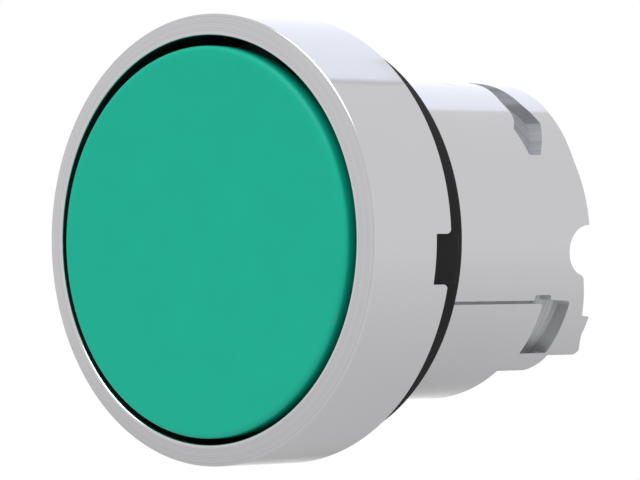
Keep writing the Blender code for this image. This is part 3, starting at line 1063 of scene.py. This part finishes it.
# %% Floor
FLOOR_HEIGHT = -0.030
FLOOR_RADIUS = 0.27
floor = turned(
    "floor",
    [(0.0, 0.0), (0.5 * FLOOR_RADIUS / MM, 0.0), (FLOOR_RADIUS / MM, 0.0)],
    steps=96,
    closed=False,
)
floor.rotation_euler = (math.radians(90.0), 0.0, 0.0)
floor.location = (0.0, 0.0, FLOOR_HEIGHT)
pale = bpy.data.materials.new("pale_floor")
pale.use_nodes = True
pale_tree = pale.node_tree
pale_shader = pale_tree.nodes["Principled BSDF"]
pale_shader.inputs["Roughness"].default_value = 0.9
pale_shader.inputs["Specular IOR Level"].default_value = 0.0
pale_shader.inputs["Emission Color"].default_value = (1.0, 1.0, 1.0, 1.0)
pale_path = node(pale_tree, "ShaderNodeLightPath")
pale_place = node(pale_tree, "ShaderNodeTexCoord")

# Reflected tone: FAR_TONE less a dip times exp(-distance / FADE) from a spot by the
# barrel, a painted shadow that darkens the floor's reflection near the object
FAR_TONE, SHADOW_DIP, FADE = 0.88, 0.4, 0.045
away = node(
    pale_tree, "ShaderNodeVectorMath", {1: (-0.02, 0.0, -0.03)}, operation="DISTANCE"
)
scaled = node(pale_tree, "ShaderNodeMath", {1: -1.0 / FADE}, operation="MULTIPLY")
fading = node(pale_tree, "ShaderNodeMath", operation="EXPONENT")
seen = node(
    pale_tree, "ShaderNodeMath", {1: -SHADOW_DIP, 2: FAR_TONE}, operation="MULTIPLY_ADD"
)
pale_tree.links.new(pale_place.outputs["Object"], away.inputs[0])
pale_tree.links.new(away.outputs["Value"], scaled.inputs[0])
pale_tree.links.new(scaled.outputs[0], fading.inputs[0])
pale_tree.links.new(fading.outputs[0], seen.inputs[0])

# A reflection sees that tone alone, painted shadow included, the camera a plain pale
# floor
PAINT, LIFT = 0.9, 0.35
base = node(
    pale_tree, "ShaderNodeMath", {1: -PAINT, 2: PAINT}, operation="MULTIPLY_ADD"
)
pale_tree.links.new(pale_path.outputs["Is Glossy Ray"], base.inputs[0])
pale_tree.links.new(base.outputs[0], pale_shader.inputs["Base Color"])
lift = node(pale_tree, "ShaderNodeMath", {1: LIFT}, operation="MULTIPLY")
pale_tree.links.new(pale_path.outputs["Is Camera Ray"], lift.inputs[0])
glow_share = node(pale_tree, "ShaderNodeMath", operation="MULTIPLY_ADD")
pale_tree.links.new(pale_path.outputs["Is Glossy Ray"], glow_share.inputs[0])
pale_tree.links.new(seen.outputs[0], glow_share.inputs[1])
pale_tree.links.new(lift.outputs[0], glow_share.inputs[2])
pale_tree.links.new(glow_share.outputs[0], pale_shader.inputs["Emission Strength"])
floor.data.materials.append(pale)


# %% Lamps
def softbox(name, place, target, size, radiance, tint=(1.0, 1.0, 1.0)):
    """A rectangular lamp of a given brightness, aimed at a point. The power is
    the brightness times pi times the lamp's area. A lamp that shows in a
    reflection adds to the room behind it."""
    data = bpy.data.lights.new(name, "AREA")
    data.shape = "RECTANGLE"
    data.size, data.size_y = size
    data.color = tint
    data.energy = radiance * math.pi * size[0] * size[1]
    lamp = bpy.data.objects.new(name, data)
    lamp.location = place
    aim = Vector(target) - Vector(place)
    lamp.rotation_euler = aim.to_track_quat("-Z", "Y").to_euler()
    lamp.visible_camera = False
    scene.collection.objects.link(lamp)
    return lamp


softbox("top_light", (0.15, -0.25, 0.8), (0.0, 0.0, 0.0), (0.7, 0.7), 2.2)
softbox("front_fill", (0.0, -0.75, 0.95), (0.0, 0.0, 0.0), (0.8, 0.6), 3.1)
softbox(
    "rear_left_panel",
    (-1.05, 0.9, 0.6),
    (-1.05, 0.0, 0.6),
    (1.6, 1.16),
    0.40,
    (0.66, 0.75, 1.0),
)

# %% [markdown]
# A small card stands close behind the bezel. It is as bright as the panel and
# has a dark edge, and only reflections see it. It gives the bezel's side the
# clean horizontal line that polished cylinders show.

# %% Card
CARD_DISTANCE = 60.0
card = new_object(
    "reflector_card",
    [(x, CARD_DISTANCE, z) for x in (-30.0, 10.2, 12.0) for z in (66.0, 84.0)],
    [[0, 1, 3, 2], [2, 3, 5, 4]],
)


def glow(name, colour):
    """A plain emission."""
    made = bpy.data.materials.new(name)
    made.use_nodes = True
    tree = made.node_tree
    tree.nodes.remove(tree.nodes["Principled BSDF"])
    lit = node(tree, "ShaderNodeEmission", {"Color": (*colour, 1.0), "Strength": 1.0})
    tree.links.new(lit.outputs[0], tree.nodes["Material Output"].inputs["Surface"])
    return made


card.data.materials.append(glow("card_bright", (1.165, 1.2, 1.3)))
card.data.materials.append(glow("card_edge", (0.5, 0.5, 0.52)))
card.data.polygons[1].material_index = 1
card.visible_camera = False
card.visible_diffuse = False
card.visible_shadow = False
card.visible_transmission = False

# %% [markdown]
# ## Camera
#
# A long lens, level with the button's axis, off to the operator's right.

# %% Camera
lens = bpy.data.cameras.new("camera")
lens.sensor_width = 36.0
lens.lens = 281.25
lens.clip_start = 0.01
camera = bpy.data.objects.new("camera", lens)
camera.location = (0.2232, -0.2387, 0.0)
camera.rotation_euler = (math.radians(90.0), 0.0, math.radians(42.94))
scene.collection.objects.link(camera)
scene.camera = camera
